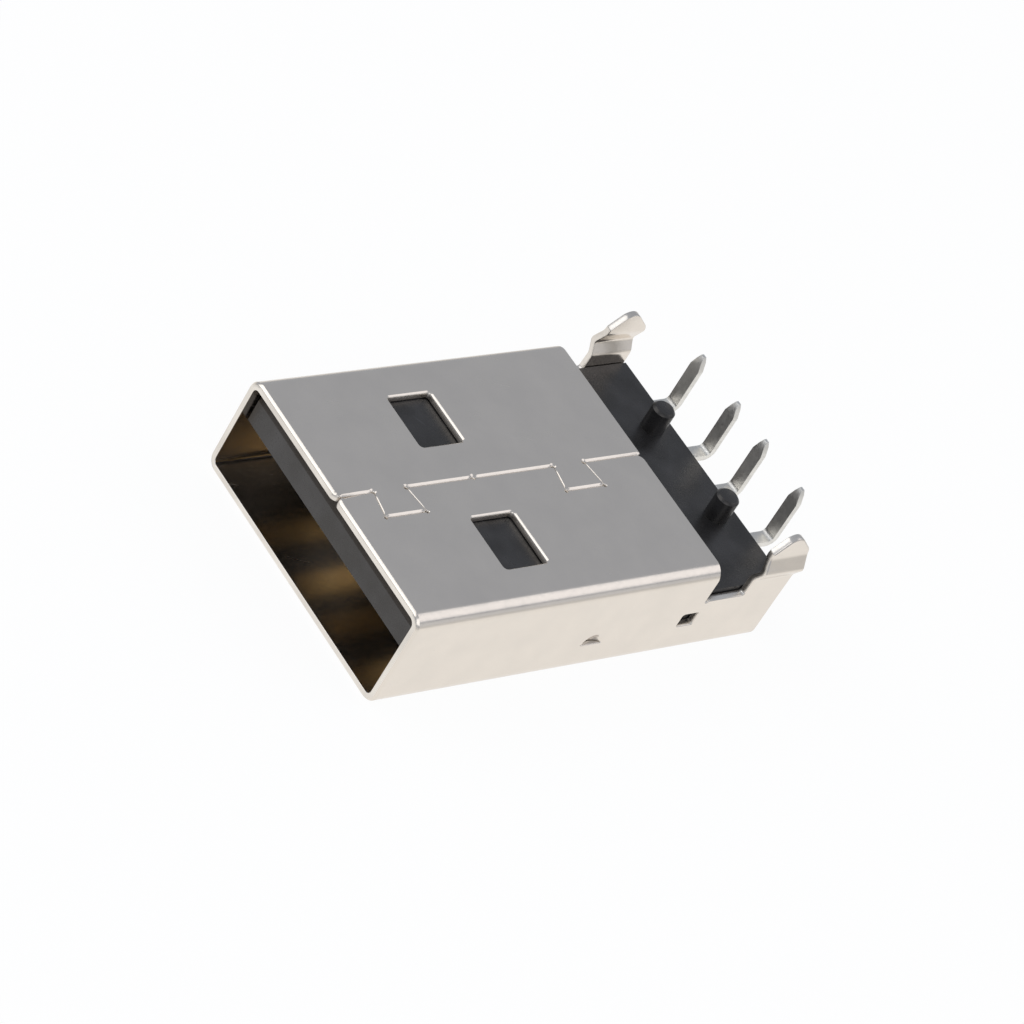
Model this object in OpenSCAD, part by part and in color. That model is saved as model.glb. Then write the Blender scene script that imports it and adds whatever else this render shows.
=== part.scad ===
// Right-angle through-hole USB-A plug: folded steel shell, moulded insulator and four formed contacts.
// Lies on the flat face of the shell. X is the width, +Y runs from the mouth to the solder tails, +Z is up.

/* [Shell] */
// Outside width of the folded shell
shell_width = 12.0; // [11:0.05:14]
// Outside height of the folded shell
shell_height = 4.5; // [4.2:0.05:6]
// Sheet thickness
sheet = 0.3; // [0.2:0.01:0.4]
// Outside radius of the four long bends
bend_radius = 0.55; // [0.45:0.01:0.8]
// Length of the seamed top face, from the mouth
top_length = 14.73; // [13.5:0.05:16]
// Length of the bottom and side walls, from the mouth
shell_length = 18.78; // [18:0.05:21]
// Coined bevel round the mouth
rim_bevel = 0.11; // [0.05:0.01:0.2]

/* [Latch windows] */
// Mouth to the front edge of a latch window
window_setback = 5.1; // [4.5:0.05:6]
// Width of a latch window
window_width = 2.5; // [1.5:0.05:3]
// Length of a latch window
window_length = 2.05; // [1.5:0.05:3]
// Centreline to the middle of a latch window
window_offset = 3.0; // [2.5:0.05:3.6]
// Corner radius of a latch window
window_radius = 0.14; // [0.05:0.01:0.3]

/* [Seam] */
// Open gap between the two edges of the sheet
seam_gap = 0.06; // [0.03:0.01:0.12]
// Reach of a dovetail tab across the seam
tab_reach = 1.2; // [0.8:0.05:1.5]
// Width of a dovetail tab at its neck
tab_neck = 1.52; // [1:0.02:2]
// Extra width on each side of the tab's head
tab_flare = 0.2; // [0.1:0.01:0.3]
// Mouth to the middle of the front tab
front_tab_at = 2.48; // [2:0.02:4]
// Mouth to the middle of the rear tab
rear_tab_at = 11.1; // [10:0.05:13]
// Radius of the relief at each tab corner
relief_radius = 0.07; // [0.05:0.01:0.1]
// Radius of the sheet corners where the seam meets the mouth and the rear
seam_corner_radius = 0.3; // [0.1:0.05:0.5]

/* [Side wall] */
// Mouth to the middle of the lanced stop
stop_at = 9.78; // [9:0.05:10.2]
// Height of the lanced stop's slit
stop_height = 1.45; // [1:0.05:1.7]
// Radius of the half-round stop
stop_radius = 0.52; // [0.3:0.01:0.6]
// How far the stop is pressed in at its slit
stop_depth = 0.22; // [0.1:0.01:0.3]
// Mouth to the middle of the punched locking hole
lock_hole_at = 14.4; // [13.8:0.05:16]
// Height of the middle of the locking hole
lock_hole_height = 1.9; // [1.5:0.05:2.2]
// Length of the locking hole
lock_hole_length = 0.82; // [0.5:0.02:1]
// Height of the locking hole's opening
lock_hole_rise = 0.66; // [0.4:0.02:0.8]
// Height of the wall in the notch that takes the circuit board
notch_floor = 2.84; // [2.5:0.02:2.9]
// Length of that notch
notch_length = 2.0; // [1.5:0.05:2.4]
// Radius at the rear corner of the notch
notch_radius = 0.2; // [0.1:0.02:0.4]

/* [Shell legs] */
// Height of the leg tips above the bottom face
leg_top = 5.7; // [5.3:0.05:7]
// Outward kink of a leg, which grips the board
kink_depth = 0.28; // [0.1:0.01:0.4]
// Height where the kink starts
kink_start = 3.64; // [3.5:0.02:3.8]
// Height of the kink's outermost point
kink_peak = 4.14; // [3.9:0.02:4.3]
// Height where the leg is straight again
kink_end = 4.78; // [4.6:0.02:5]
// Length over which each fold is rounded
kink_round = 0.1; // [0.05:0.01:0.15]

/* [Insulator] */
// Setback of the tongue's nose from the mouth
tongue_setback = 0.42; // [0.2:0.02:0.8]
// Height of the tongue's contact face above the bottom face
tongue_face = 2.36; // [2.3:0.01:2.5]
// Side clearance of the tongue inside the shell
tongue_side_gap = 0.1; // [0.05:0.01:0.2]
// Length of the bevel on the tongue's upper front edge
nose_bevel = 0.45; // [0.1:0.05:0.8]
// Bevel on the tongue's lower front edge
nose_lead = 0.2; // [0.05:0.05:0.4]
// Depth of the cavity, from the mouth
cavity_depth = 10.7; // [10.5:0.05:12]
// Height of the ledge that the circuit board sits on
ledge_height = 3.05; // [3:0.01:3.4]
// How far the ledge stands out behind the shell
ledge_overhang = 0.14; // [0.05:0.01:0.5]
// Bevel round the top of the ledge
ledge_bevel = 0.06; // [0.02:0.01:0.1]
// Clearance of the insulator in the shell
seat_clearance = 0.03; // [0.01:0.01:0.05]

/* [Location pegs] */
// Diameter of a location peg
peg_diameter = 0.96; // [0.8:0.02:1.2]
// Height of a peg above the ledge
peg_height = 1.12; // [0.8:0.02:2]
// Centreline to a peg
peg_offset = 2.3; // [2:0.05:2.5]
// Rear edge of the ledge to the middle of a peg
peg_setback = 1.08; // [0.8:0.02:1.5]
// Bevel round a peg's top
peg_bevel = 0.1; // [0.05:0.01:0.15]

/* [Contacts] */
// Thickness of the contact strip
strip = 0.25; // [0.15:0.01:0.3]
// Width of a contact in the tongue
contact_width = 1.0; // [0.8:0.02:1.2]
// Centreline to an inner, data contact
data_offset = 1.0; // [0.9:0.02:1.1]
// Centreline to an outer, power contact
power_offset = 3.5; // [3.3:0.02:3.7]
// How far a contact stands proud of the tongue's face
contact_proud = 0.05; // [0.02:0.01:0.1]
// Mouth to the front end of a power contact
power_front = 1.15; // [1:0.05:2]
// Further setback of a data contact
data_setback = 1.0; // [0.5:0.05:1.5]
// Clearance of a contact in the insulator
contact_clearance = 0.01; // [0.005:0.005:0.02]

/* [Solder tails] */
// Width of a solder tail
tail_width = 0.56; // [0.4:0.02:0.8]
// Height of a tail's upper face where it leaves the insulator
tail_height = 2.88; // [2.8:0.01:2.95]
// Rear edge of the ledge to the front face of the upright tail
tail_standoff = 0.9; // [0.7:0.02:1.5]
// Inside radius of the tail bend
tail_bend = 0.2; // [0.1:0.01:0.3]
// Height of the tail tips above the bottom face
tail_top = 5.5; // [5.2:0.05:7]
// Length of the tapered point
point_length = 0.62; // [0.4:0.02:1]
// Width of the blunt end of the point
point_width = 0.18; // [0.1:0.01:0.3]
// Length of the coined bevel on a tail's end
point_coin = 0.2; // [0.1:0.01:0.3]

/* [Hidden] */
$fn = 48;
e = 0.5;
inner_half = shell_width / 2 - sheet;
roof = shell_height - sheet;
notch_rear = top_length + notch_length;
ledge_rear = shell_length + ledge_overhang;
tail_front = ledge_rear + tail_standoff;
length_over_all = tail_front + strip;
contact_face = tongue_face - contact_proud;
jog_start = cavity_depth + 1.2;
jog_length = 0.9;
peg_y = ledge_rear - peg_setback;
step_y = top_length + seat_clearance;

// ---- helpers -------------------------------------------------------------
// A flat drawing in (x, z), drawn out from y0 to y1
module along_y(y0, y1) { translate([0, y1, 0]) rotate([90, 0, 0]) linear_extrude(y1 - y0) children(); }
// A flat drawing in (y, z), drawn out from x0 to x1
module along_x(x0, x1) { translate([x0, 0, 0]) rotate([90, 0, 90]) linear_extrude(x1 - x0) children(); }
// The same feature on both sides of the centreline
module both_sides() { children(); mirror([1, 0, 0]) children(); }

function unit(v) = v / norm(v);
function flat(p) = [p[0], p[1]];
// Arc that rounds corner c, between its neighbours p and n
function corner_arc(p, c, n, r, steps) =
    let (a = unit(p - c), b = unit(n - c), half = acos(a * b) / 2,
         middle = c + unit(a + b) * r / sin(half),
         s = c + a * r / tan(half) - middle, f = c + b * r / tan(half) - middle,
         a0 = atan2(s[1], s[0]), turn = (atan2(f[1], f[0]) - a0 + 540) % 360 - 180)
    [for (i = [0 : steps]) middle + r * [cos(a0 + turn * i / steps), sin(a0 + turn * i / steps)]];
// Outline through [u, v, radius] corners
function rounded(c, steps = 6) =
    [for (i = [0 : len(c) - 1])
        each c[i][2] > 0
            ? corner_arc(flat(c[(i + len(c) - 1) % len(c)]), flat(c[i]), flat(c[(i + 1) % len(c)]), c[i][2], steps)
            : [flat(c[i])]];

// Cross-section of a bent rectangular tube, resting on z = low
module section(w, low, high, r) {
    translate([-w / 2 + r, low]) square([w - 2 * r, high - low]);
    translate([-w / 2, low + r]) square([w, high - low - 2 * r]);
    for (x = [-w / 2 + r, w / 2 - r], z = [low + r, high - r]) translate([x, z]) circle(r);
}

// ---- shell ---------------------------------------------------------------
// Outer form, with the bevel that coining leaves round the mouth
module shell_form() {
    b = rim_bevel;
    hw = shell_width / 2;
    along_y(b, shell_length) section(shell_width, 0, shell_height, bend_radius);
    along_x(-hw + bend_radius, hw - bend_radius)
        polygon([[0, b], [b, 0], [b, shell_height], [0, shell_height - b]]);
    translate([0, 0, bend_radius]) linear_extrude(shell_height - 2 * bend_radius)
        polygon([[-hw + b, 0], [hw - b, 0], [hw, b], [-hw, b]]);
    for (x = [-hw + bend_radius, hw - bend_radius], z = [bend_radius, shell_height - bend_radius])
        translate([x, 0, z]) rotate([-90, 0, 0]) cylinder(h = b, r1 = bend_radius - b, r2 = bend_radius);
}

module seam_run(p, q) {
    d = q - p;
    translate([p[0], p[1], roof - e]) rotate(atan2(d[1], d[0]))
        translate([-seam_gap / 2, -seam_gap / 2, 0]) cube([norm(d) + seam_gap, seam_gap, sheet + 2 * e]);
}

// The two edges of the sheet meet along a dovetailed line
module seam() {
    n = tab_neck / 2;
    h = n + tab_flare;
    line = concat([[0, -e]],
        [for (m = [front_tab_at, rear_tab_at]) each [[0, m - n], [tab_reach, m - h], [tab_reach, m + h], [0, m + n]]],
        [[0, top_length + e]]);
    for (i = [0 : len(line) - 2]) seam_run(line[i], line[i + 1]);
    // reliefs at the tab corners, and the pilot notch half way along
    for (i = [1 : len(line) - 2]) translate([line[i][0], line[i][1], roof - e]) cylinder(h = sheet + 2 * e, r = relief_radius);
    translate([0, (front_tab_at + rear_tab_at) / 2 - 0.35, roof - e]) cylinder(h = sheet + 2 * e, r = relief_radius);
    // rounded sheet corners at the ends of the seam
    for (s = [-1, 1]) seam_corner(s, 0, 1);
    seam_corner(1, top_length, -1);
}

module seam_corner(side, y, way) {
    r = seam_corner_radius;
    translate([side * seam_gap / 2, y, roof - e]) scale([side, way, 1]) difference() {
        translate([-0.01, -e, 0]) cube([r + 0.01, r + e, sheet + 2 * e]);
        translate([r, r, -e]) cylinder(h = sheet + 4 * e, r = r);
    }
}

module latch_windows(z) {
    r = window_radius;
    w = window_width;
    for (s = [-1, 1]) translate([s * window_offset - w / 2, window_setback, z - e]) linear_extrude(sheet + 2 * e) {
        translate([r, 0]) square([w - 2 * r, window_length]);
        translate([0, r]) square([w, window_length - 2 * r]);
        for (x = [r, w - r], y = [r, window_length - r]) translate([x, y]) circle(r);
    }
}

// Half-round stop, cut along its lower edge and pressed in there
module stop_outline() {
    intersection() {
        translate([stop_at, stop_height]) circle(stop_radius);
        translate([stop_at - 1, stop_height]) square([2, 1]);
    }
}
module stop_tongue() {
    intersection() {
        along_x(inner_half - 1, shell_width / 2) stop_outline();
        translate([shell_width / 2, stop_at - 1, stop_height + stop_radius])
            rotate([0, atan2(stop_depth, stop_radius), 0]) translate([-sheet, 0, -1.5]) cube([sheet, 2, 1.5]);
    }
}

// Mean position of the leg's sheet: straight, kinked outward, straight again
function bent(t) = t < -kink_round ? 0 : t > kink_round ? t : pow(t + kink_round, 2) / (4 * kink_round);
function kink(z) =
    let (up = kink_depth / (kink_peak - kink_start), down = kink_depth / (kink_end - kink_peak))
    up * bent(z - kink_start) - (up + down) * bent(z - kink_peak) + down * bent(z - kink_end);
leg_steps = concat([notch_floor - 1], [for (k = [kink_start, kink_peak, kink_end], t = [-1 : 0.5 : 1]) k + t * kink_round], [leg_top + 1]);
leg_outline = rounded([
    [notch_rear, notch_floor - 0.5, 0], [shell_length, notch_floor - 0.5, 0],
    [shell_length + 0.06, leg_top - 0.73, 0.35], [shell_length - 0.85, leg_top + 0.11, 0.35],
    [notch_rear + 0.75, leg_top - 0.08, 0.2], [notch_rear + 0.19, leg_top - 0.68, 0.12],
    [notch_rear + 0.1, kink_peak + 0.2, 0.3], [notch_rear + 0.03, kink_start, 0.2]]);
module leg() {
    intersection() {
        along_y(notch_rear - 0.5, shell_length + 0.5) polygon(concat(
            [for (z = leg_steps) [inner_half + kink(z), z]],
            [for (i = [len(leg_steps) - 1 : -1 : 0]) [inner_half + sheet + kink(leg_steps[i]), leg_steps[i]]]));
        along_x(inner_half - 1, inner_half + 2) polygon(leg_outline);
    }
}

module shell() color([0.78, 0.77, 0.75]) {
    difference() {
        shell_form();
        along_y(-e, shell_length + e) section(2 * inner_half, sheet, roof, bend_radius - sheet);
        // behind the top face only the side walls and the bottom go on
        translate([-shell_width, top_length, notch_floor]) cube([2 * shell_width, shell_length, shell_height]);
        both_sides() along_x(inner_half - 0.2, shell_width) {
            translate([top_length + 0.08, notch_floor]) circle(0.1);
            translate([lock_hole_at - lock_hole_length / 2, lock_hole_height - lock_hole_rise / 2]) square([lock_hole_length, lock_hole_rise]);
            stop_outline();
        }
        // lower rear corners of the side walls
        both_sides() along_x(inner_half - 0.35, shell_width) difference() {
            translate([shell_length - 0.25, -e]) square([0.25 + e, 0.25 + e]);
            translate([shell_length - 0.25, 0.25]) circle(0.25);
        }
        seam();
        latch_windows(roof);
        latch_windows(0);
    }
    both_sides() { stop_tongue(); leg(); }
}

// ---- insulator -----------------------------------------------------------
// Side view of the tongue, from its bevelled nose to the wall behind the top face
module tongue_side() {
    top = roof - seat_clearance;
    polygon([[tongue_setback, tongue_face + nose_lead], [tongue_setback + nose_lead, tongue_face],
        [cavity_depth + 1, tongue_face], [cavity_depth + 1, ledge_height - 0.5], [step_y, ledge_height - 0.5], [step_y, top],
        [tongue_setback + nose_bevel, top], [tongue_setback, top - nose_bevel * 0.7]]);
}
// Side view of the block that carries the board
module block_side() {
    low = sheet + seat_clearance;
    b = ledge_bevel;
    polygon([[cavity_depth, low + 0.15], [cavity_depth + 0.15, low], [ledge_rear - 0.1, low], [ledge_rear, low + 0.1],
        [ledge_rear, ledge_height - b], [ledge_rear - b, ledge_height], [cavity_depth, ledge_height]]);
}

module peg(x) {
    translate([x, peg_y, ledge_height - 0.2]) cylinder(h = peg_height + 0.2 - peg_bevel, d = peg_diameter);
    translate([x, peg_y, ledge_height + peg_height - peg_bevel])
        cylinder(h = peg_bevel, r1 = peg_diameter / 2, r2 = peg_diameter / 2 - peg_bevel);
}

module housing() color([0.12, 0.12, 0.13]) {
    half = inner_half - tongue_side_gap;
    wide = inner_half - seat_clearance;
    r = bend_radius - sheet;
    difference() {
        union() {
            intersection() {
                along_x(-half, half) tongue_side();
                along_y(0, ledge_rear + e) section(2 * half, 0, roof - seat_clearance, r);
            }
            intersection() {
                along_x(-wide, wide) block_side();
                along_y(0, ledge_rear + e) section(2 * wide, sheet + seat_clearance, shell_height + 2, r);
            }
            // wall between the cavity and the board, as wide as the ledge below it
            intersection() {
                along_x(-wide, wide) translate([cavity_depth, ledge_height - 0.5]) square([step_y - cavity_depth, roof - seat_clearance - ledge_height + 0.5]);
                along_y(0, ledge_rear + e) section(2 * wide, 0, roof - seat_clearance, r);
            }
        }
        for (k = [0 : 3]) contact_room(k);
    }
    peg(-peg_offset);
    peg(peg_offset);
}

// ---- contacts ------------------------------------------------------------
function contact_x(k) = [-power_offset, -data_offset, data_offset, power_offset][k];
function contact_front(k) = k == 0 || k == 3 ? power_front : power_front + data_setback;

// Side view of the strip in the tongue, grown by c all round for its slot
module beam_side(front, c) {
    low = contact_face;
    difference() {
        translate([front - c, low - c]) square([jog_start + 0.3 - front + 2 * c, strip + 2 * c]);
        if (c == 0) polygon([[front - 1, low - 1], [front + 0.15, low - 1], [front + 0.15, low], [front, low + 0.12], [front - 1, low + 0.12]]);
    }
}
// Side view of the strip from the jog to the rear of the insulator
module jog_side(c) {
    low = contact_face - c;
    high = contact_face + strip + c;
    up = tail_height - strip - contact_face;
    polygon([[jog_start - c, low], [jog_start + 0.3, low], [jog_start + 0.3 + jog_length, low + up],
        [ledge_rear, low + up], [ledge_rear, high + up], [jog_start + 0.3 + jog_length, high + up],
        [jog_start + 0.3, high], [jog_start - c, high]]);
}
// Side view of the bend and the upright tail
module tail_side() {
    outer = tail_bend + strip;
    cy = tail_front - tail_bend;
    cz = tail_height + tail_bend;
    translate([ledge_rear - 0.4, tail_height - strip]) square([cy - ledge_rear + 0.4, strip]);
    intersection() {
        translate([cy, cz]) difference() { circle(outer); circle(tail_bend); }
        translate([cy, cz - outer]) square([outer, outer]);
    }
    polygon([[tail_front, cz], [tail_front + strip, cz], [tail_front + strip, tail_top - point_coin],
        [tail_front + strip - 0.07, tail_top], [tail_front + 0.07, tail_top], [tail_front, tail_top - point_coin]]);
}
// Front view of a tail: straight, then tapered from both edges to a blunt point
module tail_front_view(x) {
    w = tail_width / 2;
    polygon([[x - w, 0], [x + w, 0], [x + w, tail_top - point_length], [x + point_width / 2, tail_top],
        [x - point_width / 2, tail_top], [x - w, tail_top - point_length]]);
}

module contact(k) color([0.80, 0.66, 0.36]) {
    x = contact_x(k);
    w = contact_width / 2;
    t = tail_width / 2;
    along_x(x - w, x + w) beam_side(contact_front(k), 0);
    along_x(x - t, x + t) jog_side(0);
    intersection() {
        along_x(x - t, x + t) tail_side();
        along_y(ledge_rear - 1, length_over_all + 1) tail_front_view(x);
    }
}

// The room that a contact needs in the insulator
module contact_room(k) {
    c = contact_clearance;
    x = contact_x(k);
    w = contact_width / 2 + c;
    t = tail_width / 2 + c;
    along_x(x - w, x + w) {
        beam_side(contact_front(k), c);
        translate([contact_front(k) - c, tongue_face - 0.5]) square([cavity_depth - contact_front(k) + c, 0.5 + contact_proud]);
    }
    along_x(x - t, x + t) {
        jog_side(c);
        translate([ledge_rear - 0.5, tail_height - strip - c]) square([1, strip + 2 * c]);
    }
}

module contact_1() contact(0);
module contact_2() contact(1);
module contact_3() contact(2);
module contact_4() contact(3);

// ---- the part, with its origin under the middle of its outline ------------
module placed() translate([0, -length_over_all / 2, 0]) children();
placed() shell();
placed() housing();
placed() contact_1();
placed() contact_2();
placed() contact_3();
placed() contact_4();
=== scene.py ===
import math
import bpy
import bmesh
from mathutils import Matrix, Vector
from mathutils.geometry import delaunay_2d_cdt


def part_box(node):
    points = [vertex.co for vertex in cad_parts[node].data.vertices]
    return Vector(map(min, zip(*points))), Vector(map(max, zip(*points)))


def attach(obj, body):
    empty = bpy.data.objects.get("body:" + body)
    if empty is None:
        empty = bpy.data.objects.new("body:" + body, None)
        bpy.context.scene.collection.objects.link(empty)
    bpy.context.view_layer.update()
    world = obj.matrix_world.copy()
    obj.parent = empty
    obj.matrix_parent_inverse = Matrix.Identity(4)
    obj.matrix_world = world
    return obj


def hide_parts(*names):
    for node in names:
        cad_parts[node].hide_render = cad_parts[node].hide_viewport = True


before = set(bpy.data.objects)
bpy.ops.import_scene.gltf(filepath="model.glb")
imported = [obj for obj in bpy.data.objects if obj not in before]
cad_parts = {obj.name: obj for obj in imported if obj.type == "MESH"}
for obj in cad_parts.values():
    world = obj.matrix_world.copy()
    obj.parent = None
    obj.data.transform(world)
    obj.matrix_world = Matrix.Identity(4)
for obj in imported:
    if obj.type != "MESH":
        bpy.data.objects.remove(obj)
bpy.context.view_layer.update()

MM = 0.001
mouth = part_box("shell")[0][1]                 # the row's Y at the plug's mouth

# Sizes in millimetres, measured from the mouth (Y) and from the bottom face (Z)
WIDTH, HEIGHT, SHEET, BEND = 12.0, 4.5, 0.3, 0.55
TOP_LENGTH, WALL_LENGTH = 14.73, 18.78
TOP_BEND_END = TOP_LENGTH + 0.3               # behind this the upper bend carries nothing
FREE_WALL = TOP_LENGTH + 0.6                  # behind this the side wall stands free, as a leg
NOTCH_FLOOR, NOTCH_REAR = 2.84, 16.73
LEG_TOP = 5.7
KINK_DEPTH, KINK_START, KINK_PEAK, KINK_END, KINK_ROUND = 0.2796, 3.64, 4.14, 4.78, 0.1
STOP_AT, STOP_HEIGHT, STOP_RADIUS, STOP_DEPTH = 9.78, 1.45, 0.52, 0.2
WINDOW_MIDDLE, WINDOW_HALF, WINDOW_FRONT, WINDOW_REAR, WINDOW_CORNER = 3.0, 1.25, 5.1, 7.15, 0.14
LOCK_HEIGHT, LOCK_HALF, LOCK_FRONT, LOCK_REAR, LOCK_CORNER = 1.9, 0.33, 13.99, 14.81, 0.09
DOVETAILS, MIDDLE_RELIEF, SEAM_GAP = (2.48, 11.1), 6.44, 0.02

# How far each cut edge is rolled over by its tool, in millimetres
RIM_ROLL, SEAM_ROLL, FINE_SEAM_ROLL = 0.11, 0.12, 0.03
WINDOW_ROLL, LEG_ROLL, CUT_ROLL, SLIT_ROLL = 0.075, 0.05, 0.03, 0.012


def at(x, y, z):
    """A place given in millimetres from the mouth, in the row's frame."""
    return Vector((x * MM, y * MM + mouth, z * MM))


# ---------------------------------------------------------------- flat drawing
def rounded(corners, steps=6):
    """Outline through (a, b, radius) corners."""
    out = []
    for i, (a, b, r) in enumerate(corners):
        c = Vector((a, b))
        if r <= 0:
            out.append((a, b))
            continue
        p = (Vector(corners[i - 1][:2]) - c).normalized()
        n = (Vector(corners[(i + 1) % len(corners)][:2]) - c).normalized()
        half = p.angle(n) / 2
        middle = c + (p + n).normalized() * r / math.sin(half)
        s = c + p * r / math.tan(half) - middle
        f = c + n * r / math.tan(half) - middle
        a0 = math.atan2(s.y, s.x)
        turn = (math.atan2(f.y, f.x) - a0 + 3 * math.pi) % (2 * math.pi) - math.pi
        out += [(middle.x + r * math.cos(a0 + turn * k / steps), middle.y + r * math.sin(a0 + turn * k / steps))
                for k in range(steps + 1)]
    return out


def pane(middle, half, front, rear, corner):
    """A rounded rectangle between two places along the sheet."""
    return rounded([(middle - half, front, corner), (middle + half, front, corner),
                    (middle + half, rear, corner), (middle - half, rear, corner)])


def inside(point, loop):
    """Whether a flat point lies within a closed loop."""
    x, y = point
    hit = False
    for (ax, ay), (bx, by) in zip(loop, loop[1:] + loop[:1]):
        if (ay > y) != (by > y) and x < (bx - ax) * (y - ay) / (by - ay) + ax:
            hit = not hit
    return hit


# ------------------------------------------------------ shell as a folded sheet
MID = BEND - SHEET / 2                        # bend radius at the middle of the sheet
FLAT = WIDTH / 2 - BEND                       # half of the flat bottom
W1 = FLAT + MID * math.pi / 2                 # start of the side wall
W2 = W1 + HEIGHT - 2 * BEND                   # end of the side wall
W3 = W2 + MID * math.pi / 2                   # start of the top face
W4 = W3 + FLAT                                # middle of the top face


def on_wall(z):
    """The station of a height on the side wall."""
    return W1 + z - BEND


def bent(t):
    """A ramp from zero that starts with a small curve."""
    return 0.0 if t < -KINK_ROUND else t if t > KINK_ROUND else (t + KINK_ROUND) ** 2 / (4 * KINK_ROUND)


def kink(z):
    """How far the leg stands out at a height."""
    up = KINK_DEPTH / (KINK_PEAK - KINK_START)
    down = KINK_DEPTH / (KINK_END - KINK_PEAK)
    return up * bent(z - KINK_START) - (up + down) * bent(z - KINK_PEAK) + down * bent(z - KINK_END)


def fold(u, y, h):
    """Folds a point of the flat sheet: u across from the middle of the bottom, h out from the middle of the sheet."""
    side, w = (1.0 if u >= 0 else -1.0), abs(u)
    if w <= FLAT:
        x, z = w, SHEET / 2 - h
    elif w <= W1:
        turn = (w - FLAT) / MID
        x, z = FLAT + (MID + h) * math.sin(turn), BEND - (MID + h) * math.cos(turn)
    elif w <= W2 or y > FREE_WALL:
        z = BEND + w - W1
        x = WIDTH / 2 - SHEET / 2 + h
        if y > FREE_WALL:
            x += kink(z)
        reach = math.hypot(y - STOP_AT, z - STOP_HEIGHT) / STOP_RADIUS
        if reach < 1 and z > STOP_HEIGHT:
            x -= STOP_DEPTH * (1 - reach * reach)
    elif w <= W3:
        turn = (w - W2) / MID
        x, z = FLAT + (MID + h) * math.cos(turn), HEIGHT - BEND + (MID + h) * math.sin(turn)
    else:
        x, z = FLAT - (w - W3), HEIGHT - SHEET / 2 + h
    return at(side * x, y, z)


def seam_edge(side):
    """The edge of one half of the top face along the dovetailed seam, mouth to rear, as (x, y, roll)."""
    neck, flare, reach, relief, gap, corner = 0.76, 0.2, 1.2, 0.075, SEAM_GAP / 2, 0.3
    line = [(0, 0)]
    for middle in DOVETAILS:
        line += [(0, middle - neck), (reach, middle - neck - flare), (reach, middle + neck + flare), (0, middle + neck)]
        if middle < MIDDLE_RELIEF:
            line.append((0, MIDDLE_RELIEF))
    line.append((0, TOP_LENGTH))
    line = [Vector(p) for p in line]
    edge = []

    def roll(d):
        return SEAM_ROLL if side < 0 and d.y > 0.99 else FINE_SEAM_ROLL

    for k in range(7):                        # the rounded corner at the mouth
        a = math.pi / 2 * k / 6
        edge.append((side * (gap + corner * (1 - math.sin(a))), corner * (1 - math.cos(a)), 0.05 if k < 6 else 0.1))
    for before, c, after in zip(line, line[1:], line[2:]):
        d1, d2 = (c - before).normalized(), (after - c).normalized()
        n1, n2 = Vector((d1.y, -d1.x)) * side, Vector((d2.y, -d2.x)) * side
        q = math.sqrt(relief ** 2 - gap ** 2)  # from the corner to where the gap meets the relief hole
        a, b = n1 * gap - d1 * q, n2 * gap + d2 * q
        a0, a1 = math.atan2(a.y, a.x), math.atan2(b.y, b.x)
        turn = (a1 - a0) % (2 * math.pi) if side > 0 else -((a0 - a1) % (2 * math.pi))
        steps = max(2, round(abs(turn) / 0.7))
        for back in (0.5, 0.2):
            edge.append((*(c + n1 * gap - d1 * (q + back)), roll(d1)))
        for k in range(steps + 1):
            edge.append((c.x + relief * math.cos(a0 + turn * k / steps), c.y + relief * math.sin(a0 + turn * k / steps),
                         roll(d1) + (roll(d2) - roll(d1)) * k / steps))
        for on in (0.2, 0.5):
            edge.append((*(c + n2 * gap + d2 * (q + on)), roll(d2)))
    if side > 0:
        for k in range(7):
            a = math.pi / 2 * k / 6
            edge.append((gap + corner * (1 - math.cos(a)), TOP_LENGTH - corner * (1 - math.sin(a)), FINE_SEAM_ROLL))
    else:
        edge += [(-gap, TOP_LENGTH - SEAM_ROLL, SEAM_ROLL), (-gap - CUT_ROLL, TOP_LENGTH, 0.04)]
    return edge


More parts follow.
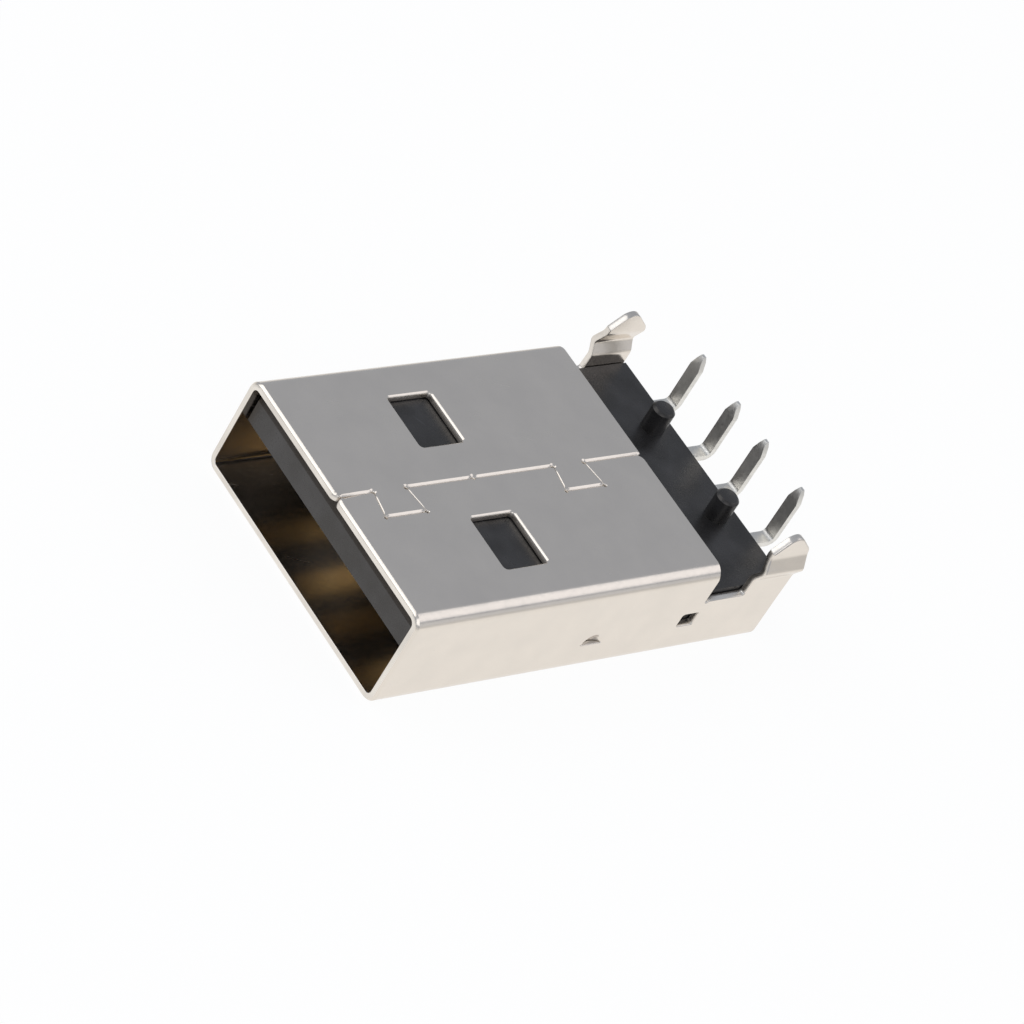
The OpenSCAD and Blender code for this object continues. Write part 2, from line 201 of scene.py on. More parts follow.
def half_outline(side):
    """Half of the flat sheet's outline, from the middle of the mouth edge round to the middle of the rear edge."""
    cut = CUT_ROLL
    out = [(0.0, 0.0, RIM_ROLL)]
    out += [(W4 - side * x, y, RIM_ROLL if k < 3 else roll) for k, (x, y, roll) in enumerate(seam_edge(side))]
    # the rear edge of the top face, down the side wall to the notch, and its relief
    out += [(W3, TOP_LENGTH, cut), (W2 + 0.2, TOP_LENGTH - 0.03, cut), (W2, TOP_LENGTH, cut)]
    c, r = (on_wall(NOTCH_FLOOR), TOP_LENGTH + 0.08), 0.1
    out.append((c[0] + 0.08, TOP_LENGTH, cut))
    out += [(c[0] + r * math.cos(a), c[1] + r * math.sin(a), 0.02)
            for a in [math.radians(d) for d in (232, 210, 180, 150, 120, 96)]]
    # the leg, as (Y, Z, radius); the first two corners only close the loop below it
    leg = rounded([
        (WALL_LENGTH, NOTCH_FLOOR - 0.5, 0), (NOTCH_REAR, NOTCH_FLOOR - 0.5, 0),
        (NOTCH_REAR + 0.03, KINK_START, 0.2),
        (NOTCH_REAR + 0.1, KINK_PEAK + 0.2, 0.3), (NOTCH_REAR + 0.19, LEG_TOP - 0.68, 0.12),
        (NOTCH_REAR + 0.75, LEG_TOP - 0.08, 0.3), (WALL_LENGTH - 0.85, LEG_TOP + 0.11, 0.5),
        (WALL_LENGTH + 0.06, LEG_TOP - 0.73, 0.55)], 8)[2:]
    corner = 0.14
    out += [(c[0] + corner * (1 - math.cos(a)), NOTCH_REAR - corner + corner * math.sin(a), cut)
            for a in [math.pi / 2 * k / 5 for k in range(6)]]
    out += [(on_wall(z), y, LEG_ROLL) for y, z in leg]
    # the rear edge of the wall, the relief at the bend and half of the bottom's rear edge
    out += [(on_wall(2.0), WALL_LENGTH, cut), (5.85, WALL_LENGTH, cut), (5.72, WALL_LENGTH - 0.12, cut),
            (5.6, WALL_LENGTH - 0.2, cut), (5.46, WALL_LENGTH - 0.25, cut), (5.37, WALL_LENGTH - 0.22, cut),
            (5.34, WALL_LENGTH - 0.1, cut), (5.32, WALL_LENGTH, cut), (0.0, WALL_LENGTH, cut)]
    return [(side * w, y, roll) for w, y, roll in out]


def sheet_holes():
    """The windows, the locking holes and the slits of the stops, as loops on the flat sheet."""
    holes = []
    for side in (1, -1):
        for middle in (WINDOW_MIDDLE, W4 - WINDOW_MIDDLE):
            window = pane(side * middle, WINDOW_HALF, WINDOW_FRONT, WINDOW_REAR, WINDOW_CORNER)
            holes.append([(a, b, WINDOW_ROLL) for a, b in window])
        lock = pane(on_wall(LOCK_HEIGHT), LOCK_HALF, LOCK_FRONT, LOCK_REAR, LOCK_CORNER)
        holes.append([(side * a, b, CUT_ROLL) for a, b in lock])
        m, half = on_wall(STOP_HEIGHT), STOP_RADIUS
        slit = [(m + 0.012, STOP_AT - half + 2 * half * k / 16) for k in range(17)]
        slit += [(m - 0.02, STOP_AT + half - 2 * half * k / 16) for k in range(17)]
        holes.append([(side * a, b, SLIT_ROLL) for a, b in slit])
    return holes


def fold_lines():
    """Stations where the sheet is bent, each with the Y range that it holds for."""
    lines = []
    for start in (FLAT, W2):
        for k in range(13):
            lines.append((start + MID * math.pi / 2 * k / 12, -1, 99 if start == FLAT else TOP_BEND_END))
    for z in (KINK_START, KINK_PEAK, KINK_END):
        lines += [(on_wall(z + KINK_ROUND * t / 2), TOP_LENGTH + 1, 99) for t in range(-2, 3)]
    return lines


def cut_at_folds(loop):
    """Adds a point wherever a loop crosses a fold line; each point is (u, y, roll, station)."""
    lines, out = fold_lines(), []
    for (u0, y0, r0), (u1, y1, r1) in zip(loop, loop[1:] + loop[:1]):
        here = [k for k, (w, low, high) in enumerate(lines) if abs(abs(u0) - w) < 1e-6 and low < y0 < high]
        out.append((u0, y0, r0, here[0] if here else -1))
        hits = []
        for k, (w, low, high) in enumerate(lines):
            for s in (1, -1):
                t = (s * w - u0) / (u1 - u0) if abs(u1 - u0) > 1e-9 else -1
                if 1e-5 < t < 1 - 1e-5 and low < y0 + t * (y1 - y0) < high:
                    hits.append((t, k))
        for t, k in sorted(hits):
            out.append((u0 + t * (u1 - u0), y0 + t * (y1 - y0), r0 + t * (r1 - r0), k))
    return out


def inward(loop):
    """At each point of a loop, the way into the sheet that keeps a chamfer's width even."""
    ways = []
    area = sum(a[0] * b[1] - b[0] * a[1] for a, b in zip(loop, loop[1:] + loop[:1]))
    turn = 1 if area > 0 else -1
    for k, p in enumerate(loop):
        a, b = Vector(loop[k - 1][:2]), Vector(loop[(k + 1) % len(loop)][:2])
        c = Vector(p[:2])
        d1, d2 = (c - a).normalized(), (b - c).normalized()
        n1, n2 = Vector((-d1.y, d1.x)) * turn, Vector((-d2.y, d2.x)) * turn
        ways.append((n1 + n2) / max(1 + n1.dot(n2), 0.5))
    return ways


def sheet_rings():
    """A cut's profile from the outer skin to the inner: inset and height, each a share of the roll and an amount."""
    half, burr = SHEET / 2, 0.02
    rings = []
    for k in range(5):                        # mostly a flat chamfer, a little rounded
        a, t = math.pi / 2 * k / 4, k / 4
        rings.append(((0.75 * (1 - t) + 0.25 * (1 - math.sin(a)), 0.0),
                      (-0.85 * (0.75 * t + 0.25 * (1 - math.cos(a))), half)))
    for inset, height in ((0.0, burr), (0.3 * burr, 0.3 * burr), (burr, 0.0)):
        rings.append(((0.0, inset), (0.0, height - half)))
    return rings


def shell_mesh():
    left, right = half_outline(-1), half_outline(1)
    outline = right + left[::-1][1:-1]
    loops = [cut_at_folds(outline)] + [cut_at_folds(hole) for hole in sheet_holes()]
    ways = [inward(loop) if i == 0 else [-w for w in inward(loop)] for i, loop in enumerate(loops)]
    bm = bmesh.new()
    stack = []                                # stack[ring][loop][point]
    for (inset, inset_more), (height, height_more) in sheet_rings():
        level = []
        for loop, way in zip(loops, ways):
            level.append([((u + w.x * (inset * r + inset_more), y + w.y * (inset * r + inset_more)),
                           height * r + height_more) for (u, y, r, _), w in zip(loop, way)])
        stack.append(level)
    verts = [[[bm.verts.new(fold(p[0], p[1], h)) for p, h in loop] for loop in level] for level in stack]
    for k in range(len(stack) - 1):
        for i, loop in enumerate(loops):
            n = len(loop)
            for j in range(n):
                m = (j + 1) % n
                face = bm.faces.new((verts[k][i][j], verts[k][i][m], verts[k + 1][i][m], verts[k + 1][i][j]))
                # rings 4 and 5, the cut wall and its burr, take the paler edge metal: partly the raw sheared edge,
                # partly a painted highlight
                face.material_index = 1 if k in (4, 5) else 0
    # the two skins of the sheet
    for level, reverse in ((0, True), (len(stack) - 1, False)):
        points, owners, edges = [], [], []
        for i, loop in enumerate(stack[level]):
            first = len(points)
            points += [Vector(p) for p, _ in loop]
            owners += verts[level][i]
            edges += [(first + j, first + (j + 1) % len(loop)) for j in range(len(loop))]
        stations = {}
        for j, (u, y, _, station) in enumerate(loops[0]):
            if station >= 0:
                stations.setdefault((station, u > 0), []).append((y, j))
        for found in stations.values():
            found.sort()
            edges += [(a[1], b[1]) for a, b in zip(found[0::2], found[1::2])]
        height = stack[level][0][0][1]
        for side in (1, -1):
            for reach in (0.25, 0.5, 0.75, 1.0, 1.08):
                for k in range(1, 14):
                    a = math.pi * k / 14
                    points.append(Vector((side * (on_wall(STOP_HEIGHT) + STOP_RADIUS * reach * math.sin(a)),
                                          STOP_AT + STOP_RADIUS * reach * math.cos(a))))
                    owners.append(bm.verts.new(fold(points[-1].x, points[-1].y, height)))
        flat, _, faces, origin, _, _ = delaunay_2d_cdt(points, edges, [], 0, 1e-5)
        outer = [tuple(p) for p, _ in stack[level][0]]
        inner = [[tuple(p) for p, _ in loop] for loop in stack[level][1:]]
        lookup = [owners[o[0]] if o else bm.verts.new(fold(p.x, p.y, height)) for p, o in zip(flat, origin)]
        for face in faces:
            middle = sum((flat[v] for v in face), Vector((0, 0))) / len(face)
            if not inside(middle, outer) or any(inside(middle, hole) for hole in inner):
                continue
            corners = [lookup[v] for v in (reversed(face) if reverse else face)]
            if len(set(corners)) == 3:
                bm.faces.new(corners)
    bmesh.ops.remove_doubles(bm, verts=bm.verts, dist=1.5e-6)
    bmesh.ops.recalc_face_normals(bm, faces=bm.faces)
    for edge in bm.edges:                     # the skins stay flat up to their cut edges
        edge.smooth = len({len(face.verts) for face in edge.link_faces}) == 1
    return bm


def finished(name, bm, materials, slot, *nodes):
    mesh = bpy.data.meshes.new(name)
    bm.normal_update()
    bm.to_mesh(mesh)
    bm.free()
    for material in materials:
        mesh.materials.append(material)
    for polygon in mesh.polygons:
        polygon.use_smooth = True
    piece = bpy.data.objects.new(name, mesh)
    bpy.context.scene.collection.objects.link(piece)
    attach(piece, "root")
    if nodes:
        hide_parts(*nodes)
    return piece


# ------------------------------------------------------------------- materials
def node_group(name, inputs, outputs):
    group = bpy.data.node_groups.new(name, "ShaderNodeTree")
    for label, kind, value in inputs:
        group.interface.new_socket(label, in_out="INPUT", socket_type=kind).default_value = value
    for label, kind in outputs:
        group.interface.new_socket(label, in_out="OUTPUT", socket_type=kind)
    return group, group.nodes.new("NodeGroupInput"), group.nodes.new("NodeGroupOutput")


def add(tree, kind, links=(), **settings):
    """Adds a node; settings are its properties or, where none fits, its inputs by name; links are (input, socket)."""
    node = tree.nodes.new(kind)
    for key, value in settings.items():
        if hasattr(node, key):
            setattr(node, key, value)
        else:
            node.inputs[key.replace("_", " ")].default_value = value
    for key, socket in links:
        tree.links.new(socket, node.inputs[key])
    return node


def grain_group():
    """Fine texture of a rolled, plated or moulded surface: a height, and a slow change of tone."""
    group, ins, outs = node_group(
        "surface_grain",
        [("Place", "NodeSocketVector", (0, 0, 0)), ("Across", "NodeSocketFloat", 6.0),
         ("Along", "NodeSocketFloat", 6.0), ("Patch size", "NodeSocketFloat", 1.5),
         ("Evenness", "NodeSocketFloat", 0.5)],
        [("Height", "NodeSocketFloat"), ("Tone", "NodeSocketFloat")])
    stretch = add(group, "ShaderNodeCombineXYZ",
                  [("X", ins.outputs["Across"]), ("Y", ins.outputs["Along"]), ("Z", ins.outputs["Across"])])
    placed = add(group, "ShaderNodeVectorMath", [(0, ins.outputs["Place"]), (1, stretch.outputs[0])],
                 operation="MULTIPLY")
    fine = add(group, "ShaderNodeTexNoise", [("Vector", placed.outputs[0]), ("Roughness", ins.outputs["Evenness"])],
               Scale=1.0, Detail=3.0)
    inverse = add(group, "ShaderNodeMath", [(1, ins.outputs["Patch size"])], operation="DIVIDE")
    inverse.inputs[0].default_value = 1.0
    slow = add(group, "ShaderNodeTexNoise", [("Vector", ins.outputs["Place"]), ("Scale", inverse.outputs[0])],
               Detail=2.0)
    group.links.new(fine.outputs["Fac"], outs.inputs["Height"])
    group.links.new(slow.outputs["Fac"], outs.inputs["Tone"])
    return group


def marks_group():
    """Handling marks: short scratches along one way and small pits, as masks."""
    group, ins, outs = node_group(
        "handling_marks",
        [("Place", "NodeSocketVector", (0, 0, 0)), ("Turn", "NodeSocketFloat", 0.4),
         ("Scratch amount", "NodeSocketFloat", 0.5), ("Pit amount", "NodeSocketFloat", 0.5)],
        [("Scratches", "NodeSocketFloat"), ("Pits", "NodeSocketFloat")])
    turned = add(group, "ShaderNodeVectorRotate", [("Vector", ins.outputs["Place"]), ("Angle", ins.outputs["Turn"])],
                 rotation_type="Z_AXIS")
    thin = add(group, "ShaderNodeVectorMath", [(0, turned.outputs[0])], operation="MULTIPLY")
    thin.inputs[1].default_value = (9.0, 0.5, 9.0)
    lines = add(group, "ShaderNodeTexNoise", [("Vector", thin.outputs[0])], Scale=1.0, Detail=1.0)
    edge = add(group, "ShaderNodeMapRange", [("Value", ins.outputs["Scratch amount"])], To_Min=0.82, To_Max=0.66)
    scratches = add(group, "ShaderNodeMapRange", [("Value", lines.outputs["Fac"]), ("From Min", edge.outputs[0])],
                    From_Max=0.86)
    cells = add(group, "ShaderNodeTexVoronoi", [("Vector", ins.outputs["Place"])], Scale=1.6)
    size = add(group, "ShaderNodeMath", [(0, ins.outputs["Pit amount"])], operation="MULTIPLY")
    size.inputs[1].default_value = 0.09
    pits = add(group, "ShaderNodeMapRange", [("Value", cells.outputs["Distance"]), ("From Max", size.outputs[0])],
               From_Min=0.0, To_Min=1.0, To_Max=0.0)
    group.links.new(scratches.outputs[0], outs.inputs["Scratches"])
    group.links.new(pits.outputs[0], outs.inputs["Pits"])
    return group


surface_grain, handling_marks = grain_group(), marks_group()


def start(name):
    """A material with its shader, and object coordinates counted in millimetres."""
    material = bpy.data.materials.new(name)
    material.use_nodes = True
    tree = material.node_tree
    coordinates = add(tree, "ShaderNodeTexCoord")
    place = add(tree, "ShaderNodeMapping", [("Vector", coordinates.outputs["Object"])])
    place.inputs["Scale"].default_value = (1000, 1000, 1000)
    return material, tree, tree.nodes["Principled BSDF"], place.outputs[0]


def blend(tree, a, b, share):
    """A colour between two colours, by a mask."""
    node = add(tree, "ShaderNodeMix", [("Factor", share)], data_type="RGBA")
    for socket, value in ((node.inputs[6], a), (node.inputs[7], b)):
        if isinstance(value, tuple):
            socket.default_value = (*value, 1)
        else:
            tree.links.new(value, socket)
    return node.outputs[2]


def between(tree, value, low, high, start_at=0.3, end_at=0.7):
    """Stretches the middle of a noise's range to run from low to high."""
    return add(tree, "ShaderNodeMapRange", [("Value", value)],
               From_Min=start_at, From_Max=end_at, To_Min=low, To_Max=high).outputs[0]


def plated_sheet(name, pale, dark, roughness, along, depth, scratches):
    """Nickel-plated sheet: faint rolling grain, slow patches in the plating, pits and handling scratches."""
    material, tree, shader, place = start(name)
    grain = add(tree, "ShaderNodeGroup", node_tree=surface_grain)
    tree.links.new(place, grain.inputs["Place"])
    grain.inputs["Across"].default_value, grain.inputs["Along"].default_value = 9.0, along
    grain.inputs["Evenness"].default_value = 0.6
    marks = add(tree, "ShaderNodeGroup", node_tree=handling_marks)
    tree.links.new(place, marks.inputs["Place"])
    marks.inputs["Scratch amount"].default_value = scratches
    marks.inputs["Pit amount"].default_value = 0.3
    tone = blend(tree, dark, pale, between(tree, grain.outputs["Tone"], 0.0, 1.0))
    tree.links.new(blend(tree, tone, tuple(c * 0.5 for c in dark), marks.outputs["Pits"]), shader.inputs["Base Color"])
    shader.inputs["Metallic"].default_value = 1.0
    even = between(tree, grain.outputs["Height"], *roughness)
    worn = add(tree, "ShaderNodeMath", [(0, marks.outputs["Scratches"]), (1, even), (2, even)], operation="MULTIPLY_ADD")
    tree.links.new(worn.outputs[0], shader.inputs["Roughness"])
    height = add(tree, "ShaderNodeMath", [(0, marks.outputs["Scratches"]), (2, grain.outputs["Height"])],
                 operation="MULTIPLY_ADD")
    height.inputs[1].default_value = -0.6     # a scratch cuts in
    bump = add(tree, "ShaderNodeBump", [("Height", height.outputs[0])], Strength=1.0, Distance=depth)
    tree.links.new(bump.outputs[0], shader.inputs["Normal"])
    return material


def moulded_plastic():
    """Black thermoplastic with a fine spark-eroded texture, flow marks and a little dust in it."""
    material, tree, shader, place = start("moulded_black")
    grain = add(tree, "ShaderNodeGroup", node_tree=surface_grain)
    tree.links.new(place, grain.inputs["Place"])
    for key, value in (("Across", 14.0), ("Along", 14.0), ("Patch size", 1.1), ("Evenness", 0.7)):
        grain.inputs[key].default_value = value
    marks = add(tree, "ShaderNodeGroup", node_tree=handling_marks)
    tree.links.new(place, marks.inputs["Place"])
    marks.inputs["Turn"].default_value = 1.1
    marks.inputs["Scratch amount"].default_value = 0.35
    flow = blend(tree, (0.012, 0.0118, 0.012), (0.034, 0.0335, 0.0345),
                 between(tree, grain.outputs["Tone"], 0.0, 1.0, 0.35, 0.75))
    tree.links.new(blend(tree, flow, (0.05, 0.05, 0.055), marks.outputs["Scratches"]), shader.inputs["Base Color"])
    tree.links.new(between(tree, grain.outputs["Height"], 0.24, 0.40), shader.inputs["Roughness"])
    shader.inputs["IOR"].default_value = 1.58
    shader.inputs["Specular Tint"].default_value = (1.0, 0.93, 0.87, 1)
    bump = add(tree, "ShaderNodeBump", [("Height", grain.outputs["Height"])], Strength=1.0, Distance=1.6e-6)
    tree.links.new(bump.outputs[0], shader.inputs["Normal"])
    return material


def contact_finish():
    """Gold flash inside the mouth, dull tin on the solder tails, with the stamping's drawn lines."""
    material, tree, shader, place = start("gold_and_tin")
    grain = add(tree, "ShaderNodeGroup", node_tree=surface_grain)
    tree.links.new(place, grain.inputs["Place"])
    for key, value in (("Across", 16.0), ("Along", 2.5), ("Patch size", 0.5)):
        grain.inputs[key].default_value = value
    split = add(tree, "ShaderNodeSeparateXYZ", [("Vector", place)])
    tinned = add(tree, "ShaderNodeMapRange", [("Value", split.outputs["Y"])], From_Min=1.5, From_Max=3.0)
    gold = blend(tree, (0.50, 0.33, 0.14), (0.72, 0.52, 0.26), between(tree, grain.outputs["Tone"], 0.0, 1.0))
    tin = blend(tree, (0.74, 0.715, 0.67), (0.88, 0.855, 0.80), between(tree, grain.outputs["Tone"], 0.0, 1.0))
    tree.links.new(blend(tree, gold, tin, tinned.outputs[0]), shader.inputs["Base Color"])
    shader.inputs["Metallic"].default_value = 1.0
    tree.links.new(between(tree, grain.outputs["Height"], 0.36, 0.52), shader.inputs["Roughness"])
    bump = add(tree, "ShaderNodeBump", [("Height", grain.outputs["Height"])], Strength=1.0, Distance=1.5e-6)
    tree.links.new(bump.outputs[0], shader.inputs["Normal"])
    return material


plated_steel = plated_sheet("plated_steel", pale=(0.825, 0.755, 0.672), dark=(0.785, 0.72, 0.643),
                            roughness=(0.18, 0.27), along=4.0, depth=0.9e-6, scratches=0.30)
# The cut walls get a paler copy of the plating: partly the sheared edge's own surface, partly a painted highlight for
# the bright glint along the cut edges.
sheared_edge_painted_highlight = plated_sheet("sheared_edge_painted_highlight", pale=(0.88, 0.83, 0.76), dark=(0.74, 0.69, 0.63),
                            roughness=(0.26, 0.38), along=9.0, depth=0.8e-6, scratches=0.1)
moulded_black = moulded_plastic()
gold_and_tin = contact_finish()


# ---------------------------------------------------------------- the insulator
def housing_mesh():
    """The moulding, joined up from its solid, with flat faces whole again so that its edges can be broken."""
    source = bpy.data.objects["housing"].data
    bm = bmesh.new()
    bm.from_mesh(source)
    bmesh.ops.remove_doubles(bm, verts=bm.verts, dist=2e-7)
    bmesh.ops.dissolve_limit(bm, angle_limit=math.radians(1.0), verts=bm.verts, edges=bm.edges, delimit={"NORMAL"})
    front = min(v.co.y for v in bm.verts)
    lead_down, lead_back = 0.3 * MM, 0.45 * MM
    for v in bm.verts:                        # a deeper lead on the upper edge of the tongue's nose
        if v.co.y < front + 0.05 * MM and v.co.z > 3.3 * MM:
            v.co.z -= lead_down
        elif v.co.y < front + 0.5 * MM and v.co.z > 4.1 * MM:
            v.co.y += lead_back
    return bm


# ----------------------------------------------------- contacts, a formed strip
def strip_tree():
    """Sweeps a strip along a path in the side view, and shapes its width: tongue, tail, then a coined point."""
    tree = bpy.data.node_groups.new("formed_strip", "GeometryNodeTree")
    sockets = {}
    tree.interface.new_socket("Geometry", in_out="INPUT", socket_type="NodeSocketGeometry")
    for label, value in (("Thickness", 0.25), ("Bend radius", 0.325), ("Tongue width", 1.0), ("Tail width", 0.56),
                         ("Narrows at", 12.2), ("Point starts", 4.88), ("Point ends", 5.5), ("Point width", 0.18),
                         ("Tail middle", 19.945), ("Sideways", 0.0)):
        socket = tree.interface.new_socket(label, in_out="INPUT", socket_type="NodeSocketFloat")
        socket.default_value = value * MM
        sockets[label] = socket.identifier
    sockets["Metal"] = tree.interface.new_socket("Metal", in_out="INPUT", socket_type="NodeSocketMaterial").identifier
    tree.interface.new_socket("Geometry", in_out="OUTPUT", socket_type="NodeSocketGeometry")
    ins, outs = tree.nodes.new("NodeGroupInput"), tree.nodes.new("NodeGroupOutput")
    path = add(tree, "GeometryNodeMeshToCurve", [("Mesh", ins.outputs["Geometry"])])
    bent_path = add(tree, "GeometryNodeFilletCurve",
                    [("Curve", path.outputs["Curve"]), ("Radius", ins.outputs["Bend radius"])],
                    mode="POLY", Count=9, Limit_Radius=True)
    section = add(tree, "GeometryNodeCurvePrimitiveQuadrilateral", [(1, ins.outputs["Thickness"])])
    section.inputs[0].default_value = MM      # one unit wide, so that X is a share of the width
    swept = add(tree, "GeometryNodeCurveToMesh",
                [("Curve", bent_path.outputs["Curve"]), ("Profile Curve", section.outputs["Curve"])], Fill_Caps=True)
    where = tree.nodes.new("GeometryNodeInputPosition")
    xyz = add(tree, "ShaderNodeSeparateXYZ", [("Vector", where.outputs[0])])
    tail = add(tree, "ShaderNodeMapRange",
               [("Value", xyz.outputs["Z"]), ("From Min", ins.outputs["Point starts"]),
                ("From Max", ins.outputs["Point ends"]), ("To Min", ins.outputs["Tail width"]),
                ("To Max", ins.outputs["Point width"])])
    narrow_end = add(tree, "ShaderNodeMath", [(0, ins.outputs["Narrows at"])], operation="ADD")
    narrow_end.inputs[1].default_value = 0.05 * MM
    width = add(tree, "ShaderNodeMapRange",
                [("Value", xyz.outputs["Y"]), ("From Min", ins.outputs["Narrows at"]),
                 ("From Max", narrow_end.outputs[0]), ("To Min", ins.outputs["Tongue width"]),
                 ("To Max", tail.outputs[0])])
    per_unit = add(tree, "ShaderNodeMath", [(0, width.outputs[0])], operation="DIVIDE")
    per_unit.inputs[1].default_value = MM
    across = add(tree, "ShaderNodeMath", [(0, xyz.outputs["X"]), (1, per_unit.outputs[0]), (2, ins.outputs["Sideways"])],
                 operation="MULTIPLY_ADD")
    coin_start = add(tree, "ShaderNodeMath", [(0, ins.outputs["Point ends"])], operation="SUBTRACT")
    coin_start.inputs[1].default_value = 0.22 * MM
    coin = add(tree, "ShaderNodeMapRange",
               [("Value", xyz.outputs["Z"]), ("From Min", coin_start.outputs[0]), ("From Max", ins.outputs["Point ends"])],
               To_Min=1.0, To_Max=0.5)
    off = add(tree, "ShaderNodeMath", [(0, xyz.outputs["Y"]), (1, ins.outputs["Tail middle"])], operation="SUBTRACT")
    lengthwise = add(tree, "ShaderNodeMath", [(0, off.outputs[0]), (1, coin.outputs[0]), (2, ins.outputs["Tail middle"])],
                     operation="MULTIPLY_ADD")
    is_point = add(tree, "FunctionNodeCompare", [("A", xyz.outputs["Z"]), ("B", coin_start.outputs[0])],
                   operation="GREATER_THAN")
    along = add(tree, "GeometryNodeSwitch",
                [("Switch", is_point.outputs[0]), ("False", xyz.outputs["Y"]), ("True", lengthwise.outputs[0])],
                input_type="FLOAT")
    there = add(tree, "ShaderNodeCombineXYZ",
                [("X", across.outputs[0]), ("Y", along.outputs[0]), ("Z", xyz.outputs["Z"])])
    shaped = add(tree, "GeometryNodeSetPosition", [("Geometry", swept.outputs["Mesh"]), ("Position", there.outputs[0])])
    real = add(tree, "GeometryNodeRealizeInstances", [("Geometry", shaped.outputs["Geometry"])])
    dressed = add(tree, "GeometryNodeSetMaterial",
                  [("Geometry", real.outputs["Geometry"]), ("Material", ins.outputs["Metal"])])
    tree.links.new(dressed.outputs["Geometry"], outs.inputs["Geometry"])
    return tree, sockets


def contacts():
    tree, sockets = strip_tree()
    face, rear, tail_y, tail_top = 2.435, 2.755, 19.9448, 5.5
    narrows, jog_end, point, coined = 12.2, 13.1, 0.62, 0.22
    outer, inner = (3.5, 1.15), (1.0, 2.15)   # place across, and start behind the mouth
    rows = ((-outer[0], outer[1]), (-inner[0], inner[1]), inner, outer)
    for number, (x, front) in enumerate(rows, 1):
        side_view = [(front, face), (narrows, face), (narrows + 0.05, face + 0.02), (jog_end, rear), (tail_y, rear),
                     (tail_y, tail_top - point), (tail_y, tail_top - coined), (tail_y, tail_top)]
        path = bpy.data.meshes.new("strip_path")
        path.from_pydata([at(0, y, z) for y, z in side_view], [(k, k + 1) for k in range(len(side_view) - 1)], [])
        strip = bpy.data.objects.new("strip_path", path)
        bpy.context.scene.collection.objects.link(strip)
        forming = strip.modifiers.new("formed strip", "NODES")
        forming.node_group = tree
        forming[sockets["Sideways"]] = x * MM
        forming[sockets["Narrows at"]] = at(0, narrows, 0).y
        forming[sockets["Tail middle"]] = at(0, tail_y, 0).y
        forming[sockets["Metal"]] = gold_and_tin
        result = bpy.data.meshes.new_from_object(strip.evaluated_get(bpy.context.evaluated_depsgraph_get()))
        bpy.data.objects.remove(strip)
        bm = bmesh.new()
        bm.from_mesh(result)
        bmesh.ops.remove_doubles(bm, verts=bm.verts, dist=1e-8)
        bmesh.ops.recalc_face_normals(bm, faces=bm.faces)
        piece = finished(f"contact_strip_{number}", bm, [gold_and_tin], "contact_metal", f"contact_{number}")
        break_edges(piece, 0.022, 32)


def break_edges(piece, width, angle, segments=2):
    """Rounds a piece's sharp edges by a hair, as tooling and tumbling leave them."""
    bevel = piece.modifiers.new("broken edges", "BEVEL")
    bevel.width, bevel.segments, bevel.limit_method = width * MM, segments, "ANGLE"
    bevel.angle_limit = math.radians(angle)
    bevel.use_clamp_overlap = True
    flat = piece.modifiers.new("flat faces stay flat", "WEIGHTED_NORMAL")
    flat.keep_sharp = False


shell = finished("folded_shell", shell_mesh(), [plated_steel, sheared_edge_painted_highlight], "shell_metal", "shell")
shell.modifiers.new("flat faces stay flat", "WEIGHTED_NORMAL").keep_sharp = True
insulator = finished("moulded_insulator", housing_mesh(), [moulded_black], "insulator", "housing")
break_edges(insulator, 0.03, 30)
contacts()

# ------------------------------------------------------------ floor and lights
def pale_floor():
    """A round pale floor that keeps the shadow, and shows as white to the camera and in reflections."""
    radius, below, colour, glow_share = 0.6, 0.02 * MM, 0.8, 0.9
    bm = bmesh.new()
    bmesh.ops.create_circle(bm, cap_ends=True, segments=96, radius=radius)
    mesh = bpy.data.meshes.new("pale_floor")
    bm.to_mesh(mesh)
    bm.free()
    mesh.transform(Matrix.Translation((0, 0, -below)))
    floor = bpy.data.objects.new("pale_floor", mesh)
    bpy.context.scene.collection.objects.link(floor)
    material = bpy.data.materials.new("pale_floor")
    material.use_nodes = True
    tree = material.node_tree
    tree.nodes.clear()
    ray = add(tree, "ShaderNodeLightPath")
    coordinates = add(tree, "ShaderNodeTexCoord")
    far = add(tree, "ShaderNodeVectorMath", [(0, coordinates.outputs["Object"])], operation="LENGTH")
    fade = add(tree, "ShaderNodeMapRange", [("Value", far.outputs["Value"])], interpolation_type="SMOOTHSTEP",
               From_Min=0.016, From_Max=0.034, To_Min=1.0, To_Max=0.64)
    level = add(tree, "ShaderNodeMix", [("Factor", ray.outputs["Is Camera Ray"]), ("A", fade.outputs["Result"])],
                data_type="FLOAT")
    level.inputs["B"].default_value = 1.04
    seen = add(tree, "ShaderNodeMath", [(0, ray.outputs["Is Camera Ray"]), (1, ray.outputs["Is Glossy Ray"])],
               operation="MAXIMUM")
    also = add(tree, "ShaderNodeMath", [(0, seen.outputs[0]), (1, ray.outputs["Is Transmission Ray"])],
               operation="MAXIMUM")
    share = add(tree, "ShaderNodeMath", [(0, also.outputs[0])], operation="MULTIPLY")
    share.inputs[1].default_value = glow_share
    diffuse = add(tree, "ShaderNodeBsdfDiffuse")
    diffuse.inputs["Color"].default_value = (colour, colour, colour, 1)
    glow = add(tree, "ShaderNodeEmission", [("Strength", level.outputs["Result"])])
    both = add(tree, "ShaderNodeMixShader", [("Fac", share.outputs[0]), (1, diffuse.outputs[0]), (2, glow.outputs[0])])
    add(tree, "ShaderNodeOutputMaterial", [("Surface", both.outputs[0])])
    mesh.materials.append(material)


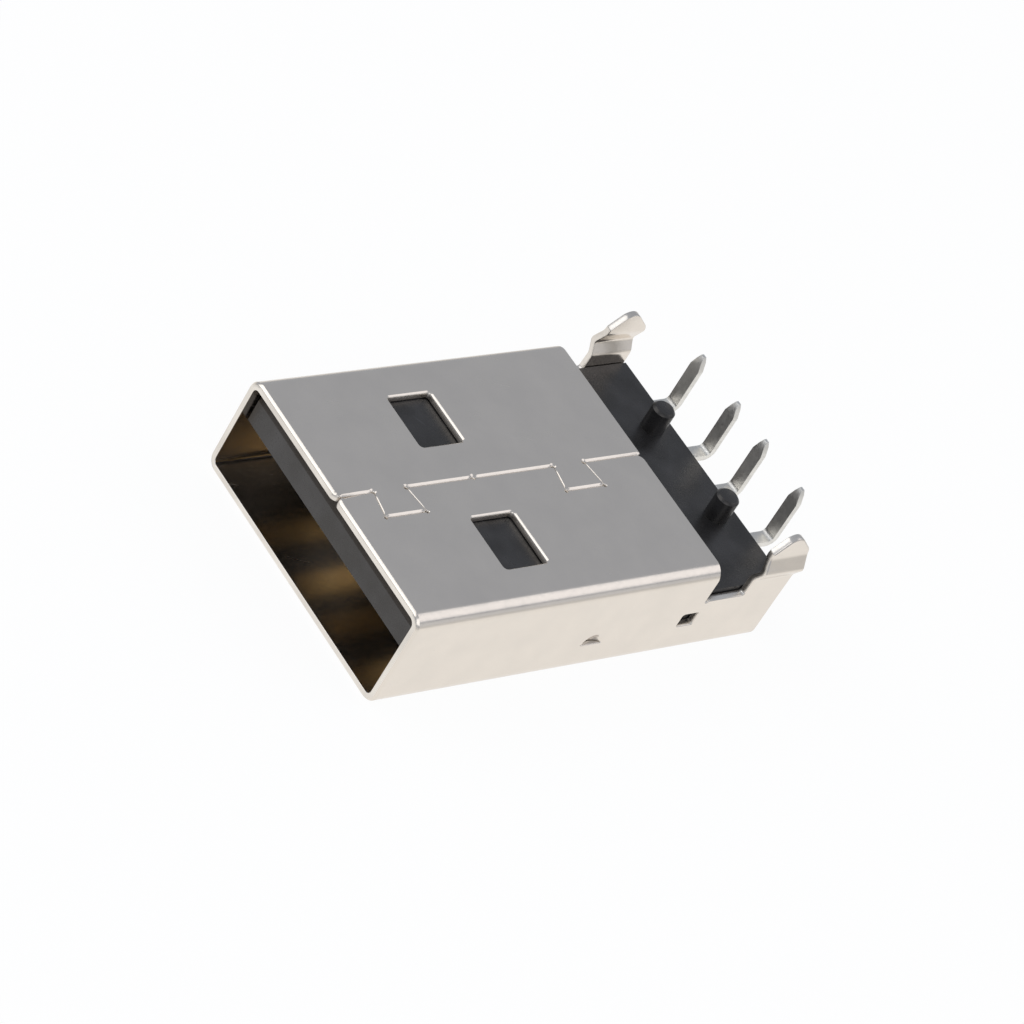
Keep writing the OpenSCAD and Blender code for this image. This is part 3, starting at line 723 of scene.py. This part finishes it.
def studio():
    """An even grey room that the camera sees as white, and softboxes behind, low behind, in front and to the side."""
    world = bpy.data.worlds.new("studio")
    bpy.context.scene.world = world
    world.use_nodes = True
    tree = world.node_tree
    tree.nodes.clear()
    room = add(tree, "ShaderNodeBackground")
    room.inputs["Color"].default_value = (0.395, 0.425, 0.48, 1)
    white = add(tree, "ShaderNodeBackground")
    white.inputs["Color"].default_value = (1, 1, 1, 1)
    ray = add(tree, "ShaderNodeLightPath")
    pick = add(tree, "ShaderNodeMixShader",
               [("Fac", ray.outputs["Is Camera Ray"]), (1, room.outputs[0]), (2, white.outputs[0])])
    add(tree, "ShaderNodeOutputWorld", [("Surface", pick.outputs[0])])

    def softbox(name, way, distance, size, level, tint=(1, 1, 1)):
        lamp = bpy.data.lights.new(name, "AREA")
        lamp.shape = "RECTANGLE"
        lamp.size, lamp.size_y = size
        lamp.energy = level * math.pi * size[0] * size[1]
        lamp.color = tint
        light = bpy.data.objects.new(name, lamp)
        bpy.context.scene.collection.objects.link(light)
        place = Vector(way).normalized() * distance
        light.location = place
        light.rotation_euler = (-place).to_track_quat("-Z", "Y").to_euler()

    softbox("softbox_behind", (0.33, 0.66, 0.69), 0.30, (0.24, 0.165), 0.70, (1.0, 0.97, 0.98))
    softbox("softbox_low", (0.745, 0.654, 0.17), 0.30, (0.26, 0.095), 0.26, (1.0, 0.95, 0.90))
    softbox("softbox_front", (-0.50, -0.64, 0.66), 0.30, (0.30, 0.22), 1.1)
    softbox("softbox_fill", (0.75, -0.60, 0.62), 0.34, (0.26, 0.24), 0.9)


pale_floor()
studio()

# ---------------------------------------------------------------------- camera
AZIMUTH, ELEVATION, ROLL, DISTANCE = 34.897, 37.082, 32.2965, 167.904
camera = bpy.data.objects.new("camera", bpy.data.cameras.new("camera"))
bpy.context.scene.collection.objects.link(camera)
bpy.context.scene.camera = camera
camera.data.sensor_width = 36
camera.data.lens = 159.405
camera.data.clip_start, camera.data.clip_end = 0.01, 20
az, el, roll = math.radians(AZIMUTH), math.radians(ELEVATION), math.radians(ROLL)
back = Vector((math.sin(az) * math.cos(el), -math.cos(az) * math.cos(el), math.sin(el)))
target = Vector((-0.0892, -0.2788, 2.0150)) * MM
aim = (-back).to_track_quat("-Z", "Y").to_matrix()
camera.matrix_world = Matrix.Translation(target + back * DISTANCE * MM) @ (aim @ Matrix.Rotation(roll, 3, "Z")).to_4x4()
bpy.context.scene.view_settings.view_transform = "Standard"
